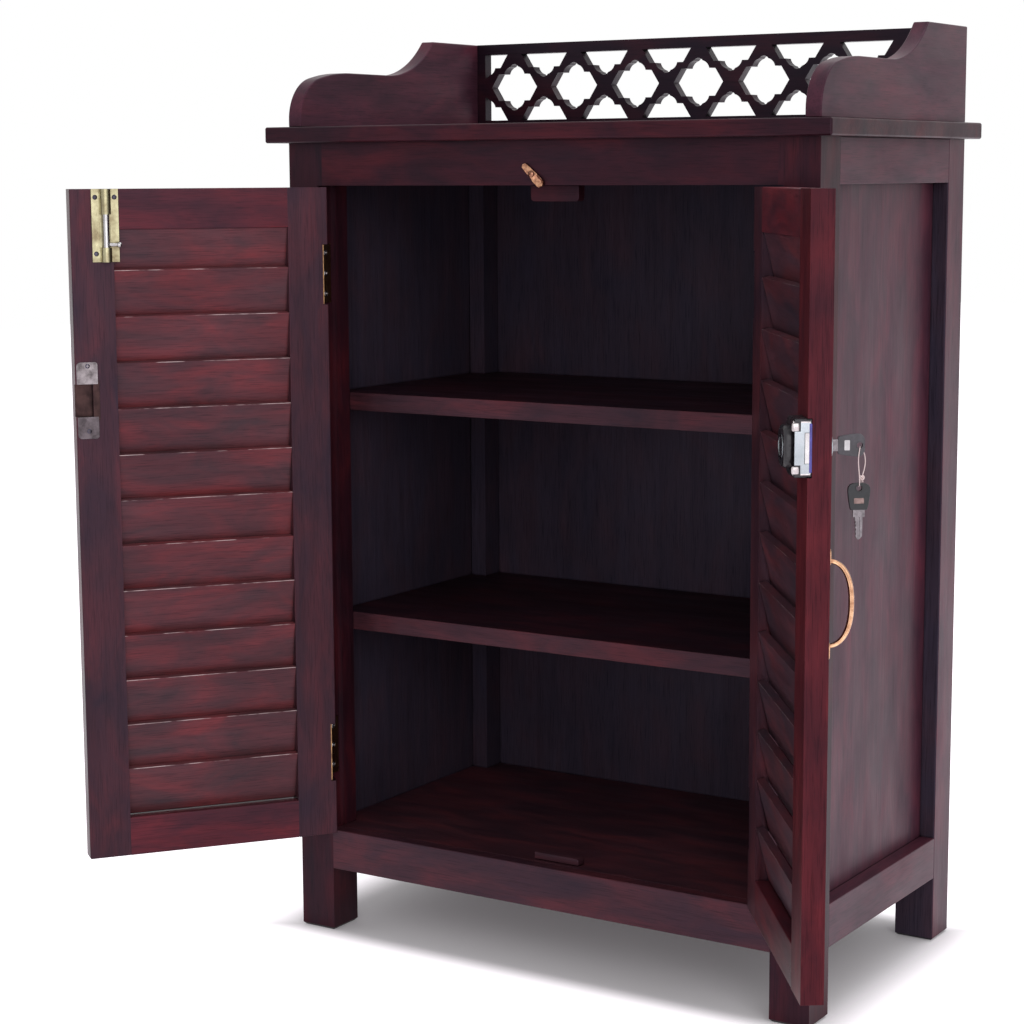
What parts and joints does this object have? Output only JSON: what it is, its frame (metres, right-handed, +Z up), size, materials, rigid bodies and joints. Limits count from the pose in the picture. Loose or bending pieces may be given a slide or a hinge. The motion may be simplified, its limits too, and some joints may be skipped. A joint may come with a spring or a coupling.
{
  "type": "louvred two-door storage cabinet",
  "caption": "Wooden floor cabinet with two open louvred doors, fixed shelves, square posts and a fretwork gallery on top; doors swing, lock and bolt.",
  "frame": {"origin": "on the floor under the middle of the case, between the four feet", "axes": "+X to the right of someone facing the doors, -Y towards that person, +Z up"},
  "size_m": [0.8968, 0.6023, 0.994],
  "materials": {
    "mahogany": "semi-gloss stain",
    "panel_wood": "semi-gloss stain",
    "door_wood": "semi-gloss stain",
    "brass": "polished",
    "steel": "satin",
    "chrome": "bright",
    "grey_plastic": "gloss",
    "black_plastic": "gloss",
    "thread": "matt"
  },
  "bodies": {
    "case": {"front_left_post": "mahogany", "front_right_post": "mahogany", "rear_left_post": "mahogany", "rear_right_post": "mahogany", "left_side_top_rail": "mahogany", "right_side_top_rail": "mahogany", "left_side_bottom_rail": "mahogany", "right_side_bottom_rail": "mahogany", "front_top_rail": "mahogany", "front_bottom_rail": "mahogany", "rear_top_rail": "mahogany", "rear_bottom_rail": "mahogany", "top_board": "mahogany", "left_gallery_bracket": "mahogany", "right_gallery_bracket": "mahogany", "gallery_fretwork": "mahogany", "top_door_stop": "mahogany", "bottom_door_stop": "mahogany", "left_side_panel": "panel_wood", "right_side_panel": "panel_wood", "back_panel": "panel_wood", "floor_board": "panel_wood", "lower_shelf": "panel_wood", "upper_shelf": "panel_wood", "left_hinge_frame_leaves": "brass", "left_hinge_pins": "steel", "right_hinge_frame_leaves": "brass", "right_hinge_pins": "steel", "turn_button_screw": "brass", "frame_hinge_screws": "steel"},
    "left_door": {"left_door_hinge_stile": "door_wood", "left_door_meeting_stile": "door_wood", "left_door_top_rail": "door_wood", "left_door_bottom_rail": "door_wood", "left_door_slats": "door_wood", "left_hinge_door_leaves": "brass", "left_door_hinge_screws": "steel", "bolt_plate": "brass", "left_door_fitting_screws": "steel", "strike_plate": "chrome", "left_handle": "brass"},
    "right_door": {"right_door_hinge_stile": "door_wood", "right_door_meeting_stile": "door_wood", "right_door_top_rail": "door_wood", "right_door_bottom_rail": "door_wood", "right_door_slats": "door_wood", "right_hinge_door_leaves": "brass", "right_door_hinge_screws": "steel", "lock_case": "chrome", "lock_barrel": "chrome", "right_handle": "brass"},
    "bolt": {"bolt_rod": "steel"},
    "lock_bolt": {"lock_bolt": "steel"},
    "key": {"lock_plug": "chrome", "key_blade": "steel", "key_head": "grey_plastic"},
    "spare_key": {"spare_key_head": "black_plastic", "spare_key_blade": "steel", "key_thread": "thread"},
    "turn_button": {"turn_button": "brass"}
  },
  "joints": [
    {"name": "left_door_swing", "type": "hinge", "parent": "case", "child": "left_door", "pos_m": [-0.2732, -0.1825, 0.474], "axis": [0, 0, -1], "range_deg": [-127, 43]},
    {"name": "right_door_swing", "type": "hinge", "parent": "case", "child": "right_door", "pos_m": [0.2732, -0.1825, 0.474], "axis": [0, 0, 1], "range_deg": [-126.5, 43.5]},
    {"name": "tower_bolt_slide", "type": "slide", "parent": "left_door", "child": "bolt", "axis": [0, 0, 1], "range_m": [0, 0.014]},
    {"name": "turn_button_turn", "type": "hinge", "parent": "case", "child": "turn_button", "pos_m": [-0.0042, -0.18, 0.842], "axis": [0, 1, 0], "continuous": true},
    {"name": "key_turn", "type": "hinge", "parent": "right_door", "child": "key", "pos_m": [0.42049, -0.38576, 0.611], "axis": [0.8039, 0.5948, 0], "range_deg": [0, 180], "deforming": ["key_thread"]},
    {"name": "lock_bolt_slide", "type": "slide", "parent": "right_door", "child": "lock_bolt", "axis": [0.5948, -0.8039, 0], "range_m": [0, 0.009]},
    {"name": "spare_key_swing", "type": "hinge", "parent": "right_door", "child": "spare_key", "pos_m": [0.44316, -0.36898, 0.6094], "axis": [0.5948, -0.8039, 0], "range_deg": [-12, 45]}
  ],
  "couplings": [
    {"joint": "lock_bolt_slide", "follows": "key_turn", "m_per_rad": 0.0028648}
  ]
}
